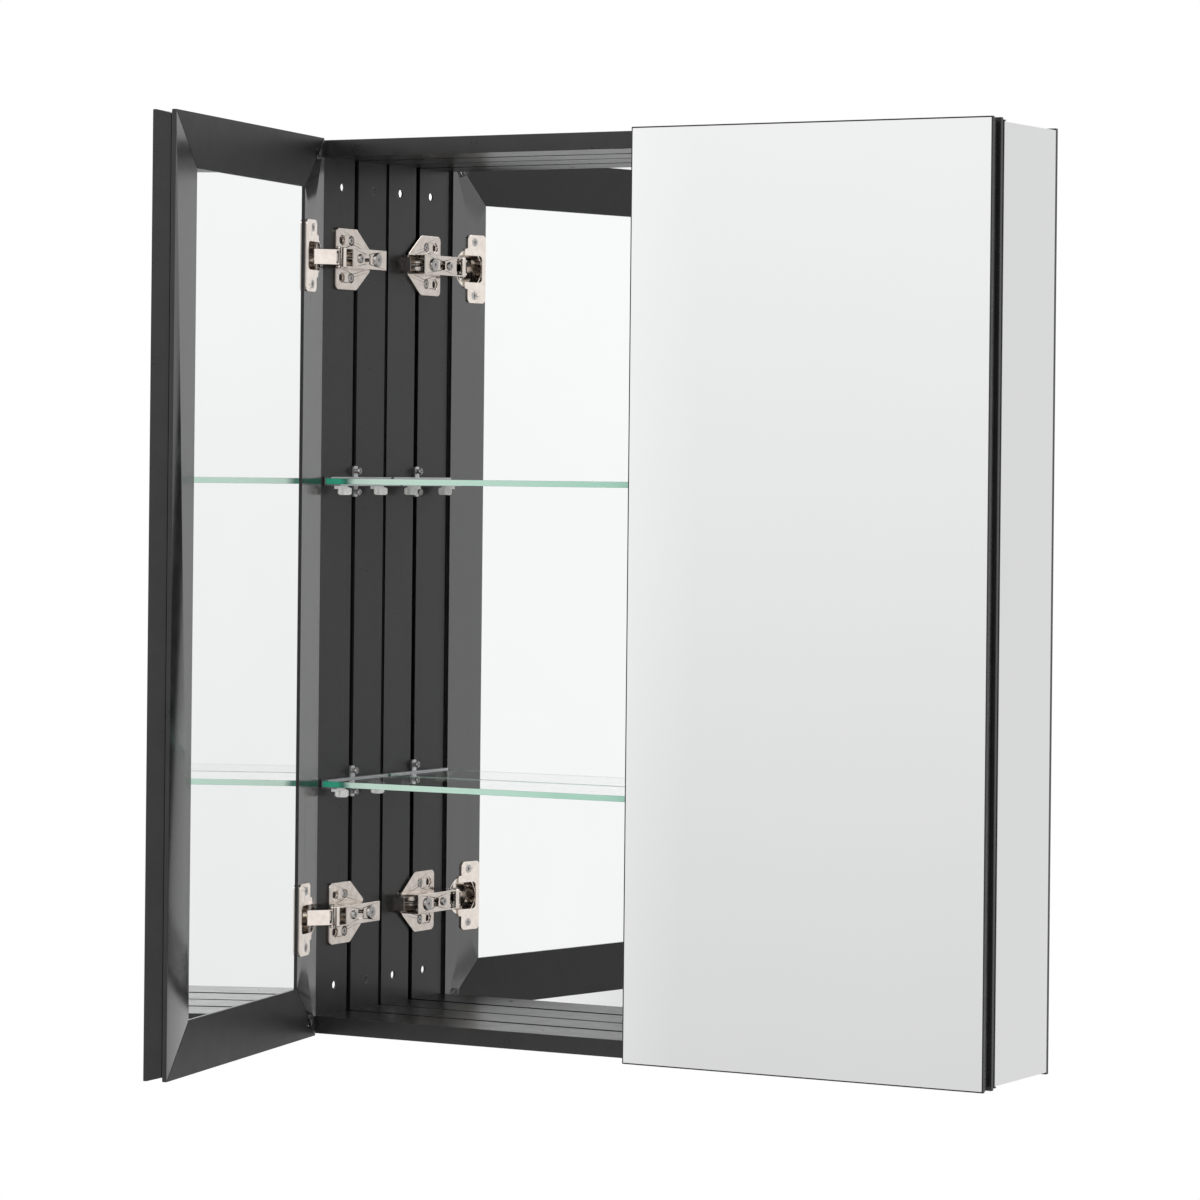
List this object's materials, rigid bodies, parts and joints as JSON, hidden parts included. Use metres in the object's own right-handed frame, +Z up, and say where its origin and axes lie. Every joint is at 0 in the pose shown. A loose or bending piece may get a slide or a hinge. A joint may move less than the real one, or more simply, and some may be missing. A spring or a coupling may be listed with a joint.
{
  "type": "mirrored medicine cabinet",
  "caption": "Wall cabinet with mirrored doors on concealed hinges, mirrored back, and adjustable glass shelves clamped in slotted aluminium sides.",
  "frame": {"origin": "middle of the cabinet's back face, on the wall plane", "axes": "+Z up, -Y out of the wall towards the user, +X to the user's right as they face the cabinet; the left door rests open just under 80 degrees and the right door rests closed"},
  "size_m": [0.6506, 0.4288, 0.765],
  "materials": {
    "black_frame": "satin black powder coat with a fine orange-peel texture",
    "mirror": "silvered float glass",
    "shelf_glass": "clear polished glass with green-tinted edges",
    "clear_plastic": "clear moulded plastic",
    "board": "plain foamed filler board",
    "key_metal": "plain cast alloy",
    "shelf_channel": "light grey satin",
    "bright_steel": "bright zinc-plated steel",
    "nickel": "bright nickel-plated pressed steel"
  },
  "bodies": {
    "cabinet": {"back_mirror": "mirror", "body_corner_keys": "key_metal", "bottom_panel": "black_frame", "hinge_adjusting_screws": "bright_steel", "hinge_arm_pins": "bright_steel", "hinge_plate_screws": "bright_steel", "left_lower_hinge_arm": "nickel", "left_lower_hinge_plate": "nickel", "left_side_panel": "black_frame", "left_upper_hinge_arm": "nickel", "left_upper_hinge_plate": "nickel", "right_lower_hinge_arm": "nickel", "right_lower_hinge_plate": "nickel", "right_side_mirror": "mirror", "right_side_panel": "black_frame", "right_upper_hinge_arm": "nickel", "right_upper_hinge_plate": "nickel", "top_panel": "black_frame"},
    "left_outer_links": {"left_lower_hinge_outer_link": "nickel", "left_upper_hinge_outer_link": "nickel"},
    "left_inner_links": {"left_hinge_inner_links": "nickel"},
    "left_door": {"left_door_backing_board": "board", "left_door_bottom_rail": "black_frame", "left_door_bumpers": "clear_plastic", "left_door_corner_keys": "key_metal", "left_door_free_stile": "black_frame", "left_door_front_mirror": "mirror", "left_door_hinge_stile": "black_frame", "left_door_inner_mirror": "mirror", "left_door_top_rail": "black_frame", "left_hinge_cup_pins": "bright_steel", "left_hinge_cup_screws": "bright_steel", "left_lower_hinge_cup": "nickel", "left_upper_hinge_cup": "nickel"},
    "right_outer_links": {"right_lower_hinge_outer_link": "nickel", "right_upper_hinge_outer_link": "nickel"},
    "right_inner_links": {"right_hinge_inner_links": "nickel"},
    "right_door": {"right_door_backing_board": "board", "right_door_bottom_rail": "black_frame", "right_door_bumpers": "clear_plastic", "right_door_corner_keys": "key_metal", "right_door_free_stile": "black_frame", "right_door_front_mirror": "mirror", "right_door_hinge_stile": "black_frame", "right_door_inner_mirror": "mirror", "right_door_top_rail": "black_frame", "right_hinge_cup_pins": "bright_steel", "right_hinge_cup_screws": "bright_steel", "right_lower_hinge_cup": "nickel", "right_upper_hinge_cup": "nickel"},
    "upper_shelf": {"upper_shelf_channels": "shelf_channel", "upper_shelf_clamp_screws": "bright_steel", "upper_shelf_glass": "shelf_glass", "upper_shelf_knobs": "clear_plastic", "upper_shelf_slot_nuts": "bright_steel"},
    "lower_shelf": {"lower_shelf_channels": "shelf_channel", "lower_shelf_clamp_screws": "bright_steel", "lower_shelf_glass": "shelf_glass", "lower_shelf_knobs": "clear_plastic", "lower_shelf_slot_nuts": "bright_steel"}
  },
  "joints": [
    {"name": "left_door_swing", "type": "hinge", "parent": "left_outer_links", "child": "left_door", "pos_m": [-0.30721, -0.11935, 0], "axis": [0, 0, -1], "range_deg": [-113.04, 23.76]},
    {"name": "left_outer_link_swing", "type": "hinge", "parent": "cabinet", "child": "left_outer_links", "pos_m": [-0.29425, -0.10393, 0], "axis": [0, 0, 1], "range_deg": [-34.54, 7.26]},
    {"name": "left_inner_link_swing", "type": "hinge", "parent": "cabinet", "child": "left_inner_links", "pos_m": [-0.299, -0.0975, 0], "axis": [0, 0, 1], "range_deg": [-34.54, 7.26]},
    {"name": "right_door_swing", "type": "hinge", "parent": "right_outer_links", "child": "right_door", "pos_m": [0.31367, -0.10928, 0], "axis": [0, 0, 1], "range_deg": [0, 136.8]},
    {"name": "right_outer_link_swing", "type": "hinge", "parent": "cabinet", "child": "right_outer_links", "pos_m": [0.29425, -0.10393, 0], "axis": [0, 0, -1], "range_deg": [0, 41.8]},
    {"name": "right_inner_link_swing", "type": "hinge", "parent": "cabinet", "child": "right_inner_links", "pos_m": [0.299, -0.0975, 0], "axis": [0, 0, -1], "range_deg": [0, 41.8]},
    {"name": "upper_shelf_slide", "type": "slide", "parent": "cabinet", "child": "upper_shelf", "axis": [0, 0, 1], "range_m": [-0.09, 0.13]},
    {"name": "lower_shelf_slide", "type": "slide", "parent": "cabinet", "child": "lower_shelf", "axis": [0, 0, 1], "range_m": [-0.05, 0.09]}
  ],
  "couplings": [
    {"joint": "left_outer_link_swing", "follows": "left_door_swing", "ratio": 0.30556},
    {"joint": "left_inner_link_swing", "follows": "left_door_swing", "ratio": 0.30556},
    {"joint": "right_outer_link_swing", "follows": "right_door_swing", "ratio": 0.30556},
    {"joint": "right_inner_link_swing", "follows": "right_door_swing", "ratio": 0.30556}
  ]
}
